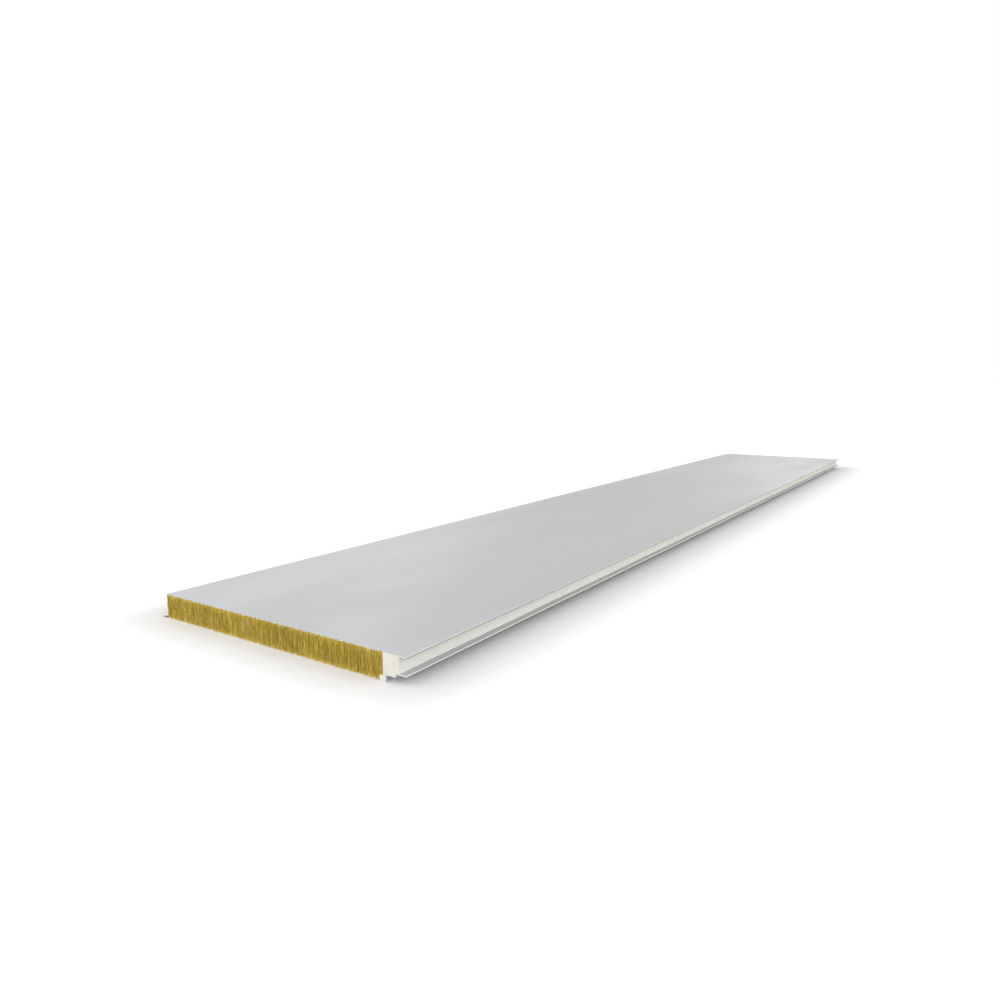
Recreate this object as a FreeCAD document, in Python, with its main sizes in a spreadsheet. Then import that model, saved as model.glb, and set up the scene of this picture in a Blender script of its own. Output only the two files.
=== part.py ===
"""Insulated wall panel: two roll-formed steel facings on a mineral-wool core.

The panel lies flat. X runs across it, from the lap lip on the left to the tongue lips on the
right, Y runs along its length and Z is up. The origin is at the middle of the underside.
Every size is in millimetres.
"""
import FreeCAD
import Part
import Sketcher
import os

# Rows of lamellas that share the width of the core
ROWS = 8

SIZES = (
    ("panel_length", 6000.0, "length that the panel is cut to"),
    ("body_width", 1000.0, "left edge of the wool to the foam face"),
    ("panel_thickness", 80.0, "outer face to outer face"),
    ("sheet_gauge", 0.6, "steel sheet of both facings"),
    ("lip_reach", 25.0, "folded lips beyond the foam face"),
    ("lip_depth", 4.0, "outer depth of a folded lip"),
    ("groove_height", 45.0, "clear height between the two lips"),
    ("upper_step_height", 9.0, "rise of the rebate's upper step"),
    ("upper_step_setback", 12.0, "upper step behind the foam face"),
    ("lower_step_setback", 45.0, "lower step behind the foam face"),
    ("hem_grip", 8.0, "how far a lip's return leg runs into the foam"),
    ("foam_width", 56.0, "foam strip, from its face to the wool"),
    ("foot_reach", 12.0, "foam foot that runs on under the wool"),
    ("foot_height", 15.0, "top of the foam foot above the underside"),
    ("lap_reach", 28.0, "left lap lip beyond the wool"),
    ("lap_root", 6.0, "height of the lap lip where it meets the wool"),
    ("lamella_length", 1200.0, "lamella, along the panel, with its joint"),
    ("lamella_stagger", 600.0, "first lamella of every other row is cut to this"),
    ("lamella_gap", 0.4, "open joint between two lamellas of a row"),
)


class Size:
    """A number together with the sheet expression that gives it."""

    def __init__(self, value, text):
        self.value = float(value)
        self.text = text

    @staticmethod
    def of(other):
        """Wrap a plain number, so that it can stand in a formula."""
        return other if isinstance(other, Size) else Size(other, repr(float(other)))

    def __add__(self, other):
        other = Size.of(other)
        return Size(self.value + other.value, f"({self.text} + {other.text})")

    def __sub__(self, other):
        other = Size.of(other)
        return Size(self.value - other.value, f"({self.text} - {other.text})")

    def __mul__(self, other):
        other = Size.of(other)
        return Size(self.value * other.value, f"({self.text} * {other.text})")

    def __truediv__(self, other):
        other = Size.of(other)
        return Size(self.value / other.value, f"({self.text} / {other.text})")


doc = FreeCAD.newDocument("InsulatedWallPanel")
sheet = doc.addObject("Spreadsheet::Sheet", "Sizes")
named = {}
for number, (alias, value, note) in enumerate(SIZES, start=1):
    sheet.set(f"A{number}", note)
    sheet.set(f"B{number}", str(value))
    sheet.setAlias(f"B{number}", alias)
    named[alias] = Size(value, f"Sizes.{alias}")
doc.recompute()

length = named["panel_length"]
top = named["panel_thickness"]
gauge = named["sheet_gauge"]
lip = named["lip_depth"]
zero = Size(0.0, "0")

# Stations across the panel
left_tip = zero - (named["lap_reach"] + named["body_width"] + named["lip_reach"]) / 2
wool_left = left_tip + named["lap_reach"]
face = wool_left + named["body_width"]
tip = face + named["lip_reach"]
upper_step = face - named["upper_step_setback"]
lower_step = face - named["lower_step_setback"]
grip = face - named["hem_grip"]
wool_right = face - named["foam_width"]
foot = wool_right - named["foot_reach"]

# Levels above the underside
upper_lip_under = top - lip
lower_lip_top = upper_lip_under - named["groove_height"]
lower_lip_under = lower_lip_top - lip
rebate_roof = lower_lip_under - named["upper_step_height"]

# Bends are as tight as the sheet takes: the inner radius follows the gauge
bend_inside = gauge * 0.6
bend_outside = bend_inside + gauge
lap_tip = gauge * 4

# The nose of a tongue lip is very nearly a half round
nose_outside = lip / 2 - gauge / 6
nose_middle = nose_outside - gauge / 2
nose_inside = nose_outside - gauge

OUTER = "outer"
INNER = "inner"
NOSE = "nose"
HOLLOW = "hollow"
EDGE = "edge"
RADII = {OUTER: bend_outside, INNER: bend_inside, NOSE: nose_outside, HOLLOW: nose_inside}


def origin_plane(body, role):
    """Return the body's own origin plane with that role."""
    return next(item for item in body.Origin.OriginFeatures if item.Role == role)


def draw_section(body, name, corners):
    """Draw a closed section, in X and Z, with each corner tied to the sheet.

    A side that runs level or upright is constrained so, and only its far corner's other
    coordinate is dimensioned. A sloping side has both of them dimensioned.
    """
    sketch = body.newObject("Sketcher::SketchObject", name)
    sketch.AttachmentSupport = [(origin_plane(body, "XZ_Plane"), "")]
    sketch.MapMode = "FlatFace"
    spots = [FreeCAD.Vector(x.value, z.value, 0) for x, z in corners]
    count = len(spots)
    for index in range(count):
        line = Part.LineSegment(spots[index], spots[(index + 1) % count])
        sketch.addGeometry(line, False)
    for index in range(count):
        after = (index + 1) % count
        sketch.addConstraint(Sketcher.Constraint("Coincident", index, 2, after, 1))
    for index, (x, z) in enumerate(corners):
        before_x, before_z = corners[index - 1]
        level = index > 0 and before_z.text == z.text
        upright = index > 0 and before_x.text == x.text
        if level:
            sketch.addConstraint(Sketcher.Constraint("Horizontal", index - 1))
        else:
            tie(sketch, "DistanceY", index, z, f"height_{index}")
        if upright:
            sketch.addConstraint(Sketcher.Constraint("Vertical", index - 1))
        else:
            tie(sketch, "DistanceX", index, x, f"across_{index}")
    return sketch


def tie(sketch, kind, index, size, name):
    """Dimension one corner from the origin and bind the dimension to the sheet."""
    number = sketch.addConstraint(Sketcher.Constraint(kind, -1, 1, index, 1, size.value))
    sketch.renameConstraint(number, name)
    sketch.setExpression(f"Constraints.{name}", size.text)


def extrude(label, corners):
    """Make a body that carries one section along the whole length."""
    body = doc.addObject("PartDesign::Body", label)
    body.Label = label
    sketch = draw_section(body, f"{label}_section", corners)
    pad = body.newObject("PartDesign::Pad", f"{label}_run")
    pad.Profile = sketch
    pad.SideType = "Symmetric"
    pad.setExpression("Length", length.text)
    doc.recompute()
    return body


def round_bends(body, name, radius, corners):
    """Round the long edges that stand at the given section corners."""
    base = body.Tip
    picked = []
    for number, edge in enumerate(base.Shape.Edges, start=1):
        spot = edge.CenterOfMass
        if abs(spot.y) > 1.0 or edge.Length < 0.9 * length.value:
            continue
        for x, z in corners:
            if abs(spot.x - x.value) < 1e-4 and abs(spot.z - z.value) < 1e-4:
                picked.append(f"Edge{number}")
    if len(picked) != len(corners):
        raise RuntimeError(f"{name}: {len(picked)} bends found of {len(corners)}")
    fillet = body.newObject("PartDesign::Fillet", name)
    fillet.Base = (base, picked)
    fillet.setExpression("Radius", radius.text)
    doc.recompute()


def fold_sheet(label, folds):
    """Make a folded sheet: its section run along the length, with every bend rounded.

    Each entry of folds is a section corner and the side of the bend that it is on: OUTER or
    INNER, NOSE or HOLLOW for the outside and inside of a lip's round nose, or EDGE where the
    sheet ends and nothing is bent.
    """
    body = extrude(label, [(x, z) for x, z, side in folds])
    for side, radius in RADII.items():
        corners = [(x, z) for x, z, which in folds if which == side]
        if corners:
            round_bends(body, f"{label}_{side}_bends", radius, corners)
    return body


def block(name, start, size):
    """Make a sawn block from its low corner and its three sizes, each bound to the sheet."""
    box = doc.addObject("Part::Box", name)
    for side, value in zip(("Length", "Width", "Height"), size):
        box.setExpression(side, value.text)
    for axis, value in zip("xyz", start):
        box.setExpression(f".Placement.Base.{axis}", value.text)
    return box


def divide(start, stop, first, pitch):
    """Return the stations that divide a run into blocks: a first one, then whole ones.

    The last block is cut to fit, and a rest under a quarter of the pitch stays on it.
    """
    stations = [start]
    spot = start + first
    while stop.value - spot.value > 0.25 * pitch.value:
        stations.append(spot)
        spot = start + first + pitch * len(stations[1:])
    return stations + [stop]


def lamella_row(row, low, width):
    """Lay one row of the core, with its low side at the given station across the panel."""
    near = zero - length / 2
    far = length / 2
    whole = named["lamella_length"]
    first = named["lamella_stagger"] if row % 2 else whole
    stations = divide(near, far, first, whole)
    half_gap = named["lamella_gap"] / 2
    blocks = []
    for number, (begin, end) in enumerate(zip(stations[:-1], stations[1:])):
        begin = begin if begin is near else begin + half_gap
        end = end if end is far else end - half_gap
        size = (width, end - begin, top - gauge * 2)
        blocks.append(block(f"lamella_{row + 1}_{number + 1}", (low, begin, gauge), size))
    laid = doc.addObject("Part::MultiFuse", f"lamellas_{row + 1}")
    laid.Shapes = blocks
    return laid


# Top facing: flat sheet, folded down and back under itself at the tongue edge
top_facing = fold_sheet(
    "top_facing",
    [
        (wool_left, top, EDGE),
        (tip, top, NOSE),
        (tip, upper_lip_under, NOSE),
        (grip, upper_lip_under, EDGE),
        (grip, upper_lip_under + gauge, EDGE),
        (tip - gauge, upper_lip_under + gauge, HOLLOW),
        (tip - gauge, top - gauge, HOLLOW),
        (wool_left, top - gauge, EDGE),
    ],
)

# Bottom facing: tapered lap lip, flat underside, two steps up and the lower tongue lip
bottom_facing = fold_sheet(
    "bottom_facing",
    [
        (wool_left, named["lap_root"], EDGE),
        (left_tip, lap_tip, OUTER),
        (left_tip, zero, OUTER),
        (lower_step, zero, OUTER),
        (lower_step, rebate_roof, INNER),
        (upper_step, rebate_roof, OUTER),
        (upper_step, lower_lip_under, INNER),
        (tip, lower_lip_under, NOSE),
        (tip, lower_lip_top, NOSE),
        (grip, lower_lip_top, EDGE),
        (grip, lower_lip_top - gauge, EDGE),
        (tip - gauge, lower_lip_top - gauge, HOLLOW),
        (tip - gauge, lower_lip_under + gauge, HOLLOW),
        (upper_step - gauge, lower_lip_under + gauge, OUTER),
        (upper_step - gauge, rebate_roof + gauge, INNER),
        (lower_step - gauge, rebate_roof + gauge, OUTER),
        (lower_step - gauge, gauge, INNER),
        (left_tip + gauge, gauge, INNER),
        (left_tip + gauge, lap_tip - gauge, INNER),
        (wool_left, named["lap_root"] - gauge, EDGE),
    ],
)

# Foam edge: the section follows the middle of the sheets, which are then taken out of it,
# so the foam fills the lips and the steps face to face with the steel
half = gauge / 2
foam_blank = extrude(
    "foam_blank",
    [
        (wool_right, top - half),
        (tip - half, top - half),
        (tip - half, upper_lip_under + half),
        (face, upper_lip_under + half),
        (face, lower_lip_top - half),
        (tip - half, lower_lip_top - half),
        (tip - half, lower_lip_under + half),
        (upper_step - half, lower_lip_under + half),
        (upper_step - half, rebate_roof + half),
        (lower_step - half, rebate_roof + half),
        (lower_step - half, half),
        (foot, half),
        (foot, named["foot_height"]),
        (wool_right, named["foot_height"]),
    ],
)
foam_noses = [
    (tip - half, top - half),
    (tip - half, upper_lip_under + half),
    (tip - half, lower_lip_top - half),
    (tip - half, lower_lip_under + half),
]
round_bends(foam_blank, "foam_noses", nose_middle, foam_noses)
foam_under_top = doc.addObject("Part::Cut", "foam_under_top")
foam_under_top.Base = foam_blank
foam_under_top.Tool = top_facing
foam_edge = doc.addObject("Part::Cut", "foam_edge")
foam_edge.Label = "foam_edge"
foam_edge.Base = foam_under_top
foam_edge.Tool = bottom_facing

# Mineral-wool core: rows of lamellas side by side, notched where they pass over the foam foot
wool_rows = []
row_width = (wool_right - wool_left) / ROWS
for row in range(ROWS):
    low = wool_left + row_width * row
    laid = lamella_row(row, low, row_width)
    if low.value + row_width.value > foot.value:
        notch_start = (foot, zero - length, zero)
        notch_size = (named["foot_reach"] * 2, length * 2, named["foot_height"])
        notched = doc.addObject("Part::Cut", f"notched_row_{row + 1}")
        notched.Base = laid
        notched.Tool = block(f"foot_notch_{row + 1}", notch_start, notch_size)
        laid = notched
    laid.Label = f"wool_row_{row + 1}"
    wool_rows.append(laid)

doc.recompute()

for item in doc.Objects:
    if "Invalid" in item.State or "Error" in item.State:
        raise RuntimeError(f"{item.Name} failed: {item.State}")

pieces = [top_facing, bottom_facing, foam_edge] + wool_rows
for piece in pieces:
    if piece.Shape.isNull() or not piece.Shape.isValid():
        raise RuntimeError(f"{piece.Label} has no valid shape")

os.makedirs("parts", exist_ok=True)
for piece in pieces:
    piece.Shape.exportStep(os.path.join("parts", f"{piece.Label}.step"))
    box = piece.Shape.BoundBox
    print(f"{piece.Label}: {len(piece.Shape.Solids)} solid(s), {piece.Shape.Volume / 1e6:.3f} litres,",
          f"x {box.XMin:.2f} to {box.XMax:.2f}, z {box.ZMin:.2f} to {box.ZMax:.2f}")
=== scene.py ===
"""Insulated wall panel: two steel facings, an upright mineral-wool core and a foam tongue edge."""

import logging
import math
from dataclasses import dataclass, field
from enum import Enum
from typing import Optional, Union

import bpy
import numpy as np
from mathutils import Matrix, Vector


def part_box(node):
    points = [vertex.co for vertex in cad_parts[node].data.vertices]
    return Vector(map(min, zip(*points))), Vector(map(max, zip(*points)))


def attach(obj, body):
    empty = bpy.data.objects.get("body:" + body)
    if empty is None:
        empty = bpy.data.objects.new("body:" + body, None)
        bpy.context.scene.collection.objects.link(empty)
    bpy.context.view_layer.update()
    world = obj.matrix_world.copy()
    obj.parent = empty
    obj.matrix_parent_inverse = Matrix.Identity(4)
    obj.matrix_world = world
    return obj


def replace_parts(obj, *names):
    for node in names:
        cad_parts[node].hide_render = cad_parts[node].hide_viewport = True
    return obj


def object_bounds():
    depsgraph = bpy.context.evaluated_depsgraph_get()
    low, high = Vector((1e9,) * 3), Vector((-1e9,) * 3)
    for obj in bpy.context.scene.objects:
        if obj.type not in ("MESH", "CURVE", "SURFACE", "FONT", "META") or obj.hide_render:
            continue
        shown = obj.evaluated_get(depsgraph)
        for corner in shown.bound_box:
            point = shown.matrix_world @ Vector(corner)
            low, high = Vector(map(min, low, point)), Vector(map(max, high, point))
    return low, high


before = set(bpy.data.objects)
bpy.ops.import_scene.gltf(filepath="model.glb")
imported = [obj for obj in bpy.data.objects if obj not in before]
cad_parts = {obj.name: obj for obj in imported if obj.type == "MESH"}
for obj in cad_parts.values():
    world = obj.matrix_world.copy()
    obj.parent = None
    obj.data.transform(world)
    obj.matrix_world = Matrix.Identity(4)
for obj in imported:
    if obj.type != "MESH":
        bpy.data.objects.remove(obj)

CAD_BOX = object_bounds()
BODY = "root"
MM = 0.001
UP = np.array([0.0, 0.0, 1.0])
WHITE = (1.0, 1.0, 1.0, 1.0)
LOG = logging.getLogger("wall_panel")

Array = np.ndarray
Random = np.random.Generator
Material = bpy.types.Material
Socket = bpy.types.NodeSocket
Feed = Union[Socket, float, tuple]


class Effect(Enum):
    """Surface effects that the finishes draw on, one node group each."""

    STREAKS = "streaks"
    SPECKS = "specks"
    SMUDGES = "smudges"


class OpenFace(Enum):
    """The faces of the wool core that no other piece covers."""

    NEAR_END = "near"
    FAR_END = "far"
    LEFT_SIDE = "left"


class Slot(Enum):
    """The record's material slots for the wool and the glue, listed here but given to no piece."""

    WOOL = "mineral_wool"
    GLUE = "edge_foam"


@dataclass(frozen=True)
class Tone:
    """A colour as it is seen, in 8-bit display values."""

    red: int
    green: int
    blue: int

    def rgba(self) -> tuple:
        """Turn the colour into linear light by the sRGB curve.

        Returns:
            Red, green, blue and a full alpha.
        """
        shown = np.array([self.red, self.green, self.blue]) / 255.0
        light = np.where(shown <= 0.04045, shown / 12.92, ((shown + 0.055) / 1.055) ** 2.4)
        return (*light.tolist(), 1.0)


@dataclass
class Graph:
    """A shader node tree that is filled by short calls.

    Attributes:
        tree: The node tree of a material, a world or a node group.
    """

    tree: bpy.types.NodeTree

    def feed(self, target: Socket, value: Feed) -> None:
        """Link a socket to target, or set target's own value.

        Args:
            target: The input socket.
            value: An output socket or a plain value.
        """
        if isinstance(value, Socket):
            self.tree.links.new(value, target)
        else:
            target.default_value = value

    def node(self, kind: str, feeds: Optional[dict] = None, **settings: object) -> bpy.types.Node:
        """Add one node.

        Args:
            kind: Blender's name of the node type.
            feeds: Input name or number to socket or value.
            **settings: Attributes of the node.

        Returns:
            The new node.
        """
        made = self.tree.nodes.new(kind)
        for name, value in settings.items():
            setattr(made, name, value)
        for key, value in (feeds or {}).items():
            self.feed(made.inputs[key], value)
        return made

    def math(self, operation: str, first: Feed, second: Feed = 0.0) -> Socket:
        """Return first and second joined by a Math operation."""
        return self.node("ShaderNodeMath", {0: first, 1: second}, operation=operation).outputs[0]

    def weighted(self, base: float, *terms: tuple) -> Socket:
        """Add up a base and weighted values.

        Args:
            base: The plain number to start from.
            *terms: Pairs of a value and its weight.

        Returns:
            The sum.
        """
        total = base
        for value, weight in terms:
            feeds = {0: value, 1: weight, 2: total}
            total = self.node("ShaderNodeMath", feeds, operation="MULTIPLY_ADD").outputs[0]
        return total

    def vector(self, operation: str, first: Feed, second: Feed = (0.0, 0.0, 0.0)) -> Socket:
        """Return first and second joined by a Vector Math operation."""
        made = self.node("ShaderNodeVectorMath", {0: first, 1: second}, operation=operation)
        return made.outputs["Value" if operation == "LENGTH" else "Vector"]

    def part(self, vector: Feed, axis: int) -> Socket:
        """Return one coordinate of a vector."""
        return self.node("ShaderNodeSeparateXYZ", {0: vector}).outputs[axis]

    def facing(self, axis: int) -> Socket:
        """Return how far the surface faces along an axis, from -1 to 1."""
        return self.part(self.node("ShaderNodeNewGeometry").outputs["Normal"], axis)

    def noise(self, vector: Feed, scale: Feed, detail: float = 2.0) -> Socket:
        """Return a noise value from 0 to 1 at vector."""
        feeds = {"Vector": vector, "Scale": scale, "Detail": detail}
        return self.node("ShaderNodeTexNoise", feeds).outputs[0]

    def drawn(self, vector: Feed, frequency: tuple, detail: float = 2.0) -> Socket:
        """Return a noise that has its own frequency on each axis."""
        return self.noise(self.vector("MULTIPLY", vector, frequency), 1.0, detail)

    def spread(self, value: Feed, low: Feed, high: Feed, start: float = 0.0,
               end: float = 1.0) -> Socket:
        """Ease a value from one range into another.

        Args:
            value: The value.
            low: Where the ease begins.
            high: Where it ends.
            start: The result at low and before it.
            end: The result at high and past it.

        Returns:
            The eased value.
        """
        feeds = {"Value": value, "From Min": low, "From Max": high, "To Min": start, "To Max": end}
        return self.node("ShaderNodeMapRange", feeds, interpolation_type="SMOOTHSTEP").outputs[0]

    def blend(self, amount: Feed, first: Feed, second: Feed) -> Socket:
        """Return a colour that goes from first to second with amount."""
        made = self.node("ShaderNodeMix", {0: amount, 6: first, 7: second}, data_type="RGBA")
        return made.outputs[2]

    def layered(self, colour: Feed, *layers: tuple) -> Socket:
        """Cover a colour with others, one after another.

        Args:
            colour: The colour underneath.
            *layers: The mask of each layer, its strength and its Tone.

        Returns:
            The colour on top.
        """
        for mask, strength, tone in layers:
            colour = self.blend(self.math("MULTIPLY", mask, strength), colour, tone.rgba())
        return colour

    def ramp(self, value: Feed, stops: tuple) -> Socket:
        """Colour a value by stops.

        Args:
            value: The value from 0 to 1.
            stops: Pairs of place and Tone, in rising order.

        Returns:
            The colour socket.
        """
        made = self.node("ShaderNodeValToRGB", {0: value})
        elements = made.color_ramp.elements
        while len(elements) < len(stops):
            elements.new(0.5)
        for element, (place, tone) in zip(elements, stops):
            element.position = place
            element.color = tone.rgba()
        return made.outputs[0]

    def effect(self, which: Effect, **feeds: Feed) -> Socket:
        """Place a shared effect, with its inputs by name, and return its value."""
        titled = {key.title(): value for key, value in feeds.items()}
        return self.node("ShaderNodeGroup", titled, node_tree=effect_group(which)).outputs[0]

    def bump(self, height: Feed, distance: float, strength: float,
             normal: Optional[Socket] = None) -> Socket:
        """Raise the surface by a height.

        Args:
            height: The height from 0 to 1.
            distance: What a height of 1 stands for, in metres.
            strength: How much of it shows.
            normal: The normal to start from, or None for the surface's own.

        Returns:
            The new normal.
        """
        feeds = {"Height": height, "Distance": distance, "Strength": strength}
        if normal is not None:
            feeds["Normal"] = normal
        return self.node("ShaderNodeBump", feeds).outputs[0]


def streaks(graph: Graph, given: bpy.types.NodeOutputs) -> Socket:
    """Mix two noises that the Frequency of each axis stretches, and sharpen them by Contrast.

    Args:
        graph: The group's graph.
        given: The group's inputs.

    Returns:
        The value.
    """
    place = graph.vector("MULTIPLY", given["Vector"], given["Frequency"])
    broad = graph.noise(place, 1.0, 2.0)
    fine = graph.noise(graph.vector("ADD", place, (7.3, 2.1, 5.7)), 3.3, 3.0)
    both = graph.weighted(0.0, (broad, 0.55), (fine, 0.45))
    half = graph.math("DIVIDE", 0.5, given["Contrast"])
    return graph.spread(both, graph.math("SUBTRACT", 0.5, half), graph.math("ADD", 0.5, half))


def specks(graph: Graph, given: bpy.types.NodeOutputs) -> Socket:
    """Put a round dot into a Share of the cells of a pattern of that Scale.

    Args:
        graph: The group's graph.
        given: The group's inputs.

    Returns:
        The value.
    """
    pattern = graph.node("ShaderNodeTexVoronoi", {key: given[key] for key in ("Vector", "Scale")})
    draw = graph.node("ShaderNodeSeparateColor", {0: pattern.outputs["Color"]}).outputs[0]
    kept = graph.math("LESS_THAN", draw, given["Share"])
    dot = graph.spread(pattern.outputs["Distance"], 0.12, 0.34, 1.0, 0.0)
    return graph.math("MULTIPLY", kept, dot)


def smudges(graph: Graph, given: bpy.types.NodeOutputs) -> Socket:
    """Lay a fine noise inside the tops of a broad one, which grow with Share.

    Args:
        graph: The group's graph.
        given: The group's inputs.

    Returns:
        The value.
    """
    place = graph.vector("MULTIPLY", given["Vector"], given["Frequency"])
    level = graph.weighted(0.78, (given["Share"], -0.4))
    broad = graph.spread(graph.noise(place, 1.0, 3.0), level, graph.math("ADD", level, 0.16))
    fine = graph.spread(graph.noise(place, 9.0, 4.0), 0.34, 0.66)
    return graph.math("MULTIPLY", broad, fine)


VECTOR, NUMBER = "NodeSocketVector", "NodeSocketFloat"
EFFECTS = {
    Effect.STREAKS: (streaks, {"Vector": VECTOR, "Frequency": VECTOR, "Contrast": NUMBER}),
    Effect.SPECKS: (specks, {"Vector": VECTOR, "Scale": NUMBER, "Share": NUMBER}),
    Effect.SMUDGES: (smudges, {"Vector": VECTOR, "Frequency": VECTOR, "Share": NUMBER}),
}


def effect_group(which: Effect) -> bpy.types.NodeTree:
    """Find the node group of an effect, or build it at its first use.

    Args:
        which: The effect.

    Returns:
        Its node group.
    """
    found = bpy.data.node_groups.get(which.value)
    if found is not None:
        return found
    make, inputs = EFFECTS[which]
    tree = bpy.data.node_groups.new(which.value, "ShaderNodeTree")
    for title, kind in inputs.items():
        tree.interface.new_socket(name=title, in_out="INPUT", socket_type=kind)
    tree.interface.new_socket(name="Value", in_out="OUTPUT", socket_type=NUMBER)
    graph = Graph(tree)
    value = make(graph, graph.node("NodeGroupInput").outputs)
    graph.node("NodeGroupOutput", {"Value": value})
    return tree


def new_material(name: str) -> tuple:
    """Make a material with a bare Principled shader.

    Args:
        name: The material's name.

    Returns:
        The material, its graph, its shader's inputs and the Object coordinates.
    """
    material = bpy.data.materials.new(name)
    material.use_nodes = True
    graph = Graph(material.node_tree)
    shader = next(node for node in graph.tree.nodes if node.type == "BSDF_PRINCIPLED")
    place = graph.node("ShaderNodeTexCoord").outputs["Object"]
    return material, graph, shader.inputs, place


@dataclass(frozen=True)
class CoatedSteel:
    """Satin silver-grey coating on cold-rolled steel sheet, as on the outer facing.

    Attributes:
        tip: Where the folded lips end, to either side of the middle, in metres.
        name: The finish's name.
        shaded_slopes: The slopes, as upward parts of the direction, between which the noses'
            painted shade fades.
        body, lifted, dust: The coating, its lighter roll streaks and thin films of dust.
        nose_highlight, nose_shade: The painted highlight on the noses' upper half and the painted
            shade on their lower half.
        metallic, satin: Metallic share and roughness of the clean coating.
        nose: How far from the tip the noses' painted highlight and painted shade begin, and where
            they are full.
        rolled, dragged, cloudy, dusty, wavy: Frequency of each pattern on each axis, per metre.
        grain: Scale of the coating's grain.
    """

    tip: float
    name: str = "outer_steel"
    # Slopes between which the noses' painted shade fades out.
    shaded_slopes: tuple = (-0.25, 0.45)
    body: Tone = Tone(168, 170, 172)
    lifted: Tone = Tone(197, 199, 200)
    dust: Tone = Tone(188, 188, 186)
    # Painted highlight: a lighter tone on the upward-facing half of the lips' noses.
    nose_highlight: Tone = Tone(212, 213, 212)
    # Painted shade: a dark tone on the downward-facing half of the lips' noses.
    nose_shade: Tone = Tone(88, 88, 86)
    metallic: float = 0.38
    satin: float = 0.44
    nose: tuple = (4.5 * MM, 1.4 * MM)
    rolled: tuple = (60.0, 0.35, 60.0)
    dragged: tuple = (330.0, 1.6, 330.0)
    cloudy: tuple = (4.0, 0.7, 4.0)
    dusty: tuple = (3.0, 1.1, 3.0)
    wavy: tuple = (5.0, 2.0, 5.0)
    grain: float = 420.0

    def nose_light_and_shade(self, graph: Graph, place: Feed, rolled: Feed) -> tuple:
        """Find where the lips' noses get a painted highlight and where they get painted shade.

        Args:
            graph: The material's graph.
            place: The Object coordinates.
            rolled: The roll streaks, along which the painted highlight varies.

        Returns:
            The mask of the painted highlight on the upper half and the mask of the painted shade on
            the lower half.
        """
        across = graph.math("ABSOLUTE", graph.part(place, 0))
        bend = graph.spread(across, self.tip - self.nose[0], self.tip - self.nose[1])
        slope = graph.facing(2)
        low, high = self.shaded_slopes
        # Painted shade mask: the downward-facing part of the noses.
        under = graph.math("MULTIPLY", bend, graph.spread(slope, low, high, 0.95, 0.0))
        # Painted highlight mask: the upward-facing part of the noses.
        highlight_mask = graph.math("MULTIPLY", bend, graph.spread(slope, high - 0.3, high + 0.25))
        uneven = graph.spread(rolled, 0.0, 1.0, 0.6, 1.0)
        return graph.math("MULTIPLY", highlight_mask, uneven), under

    def material(self) -> Material:
        """Build roll streaks, grain, dust films, drag lines, slight waves, and a painted highlight
        and painted shade on the noses.

        Returns:
            The material.
        """
        material, graph, shader, place = new_material(self.name)
        rolled = graph.effect(Effect.STREAKS, vector=place, frequency=self.rolled, contrast=2.0)
        drags = graph.effect(Effect.STREAKS, vector=place, frequency=self.dragged, contrast=1.7)
        drag = graph.spread(drags, 0.83, 0.93)
        clouds = graph.drawn(place, self.cloudy)
        grain = graph.noise(place, self.grain, 3.0)
        film = graph.spread(graph.drawn(place, self.dusty, 5.0), 0.42, 0.68)
        highlight_mask, under = self.nose_light_and_shade(graph, place, rolled)
        shine = graph.weighted(0.0, (rolled, 0.19), (clouds, 0.5), (grain, 0.14))
        # The noses get a painted highlight on top and painted shade below.
        colour = graph.layered(graph.blend(shine, self.body.rgba(), self.lifted.rgba()),
                               (film, 0.4, self.dust), (highlight_mask, 1.0, self.nose_highlight),
                               (under, 1.0, self.nose_shade))
        graph.feed(shader["Base Color"], colour)
        rough = graph.weighted(self.satin, (rolled, 0.05), (highlight_mask, -0.10), (under, 0.2),
                               (film, 0.10), (drag, 0.08))
        graph.feed(shader["Roughness"], rough)
        metal = graph.weighted(self.metallic, (film, -0.12), (highlight_mask, 0.12), (under, -0.2))
        graph.feed(shader["Metallic"], metal)
        waves = graph.bump(graph.drawn(place, self.wavy, 1.0), 0.8 * MM, 0.5)
        graph.feed(shader["Normal"], graph.bump(grain, 0.02 * MM, 0.5, waves))
        return material


@dataclass(frozen=True)
class InnerSteel(CoatedSteel):
    """The same coating on the inner facing, drawn lighter as painted light for the shaded groove,
    with a brighter painted highlight round most of its noses and painted shade only on their
    downward-facing part.
    """

    name: str = "inner_steel"
    # Painted shade only where the noses face well downward.
    shaded_slopes: tuple = (-0.6, -0.05)
    # Painted light: lighter tones than the outer facing, to lift the shade in the groove.
    body: Tone = Tone(177, 179, 180)
    lifted: Tone = Tone(206, 208, 208)
    dust: Tone = Tone(190, 190, 188)
    # Brighter painted highlight on the lower lip's nose.
    nose_highlight: Tone = Tone(238, 239, 238)


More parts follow.
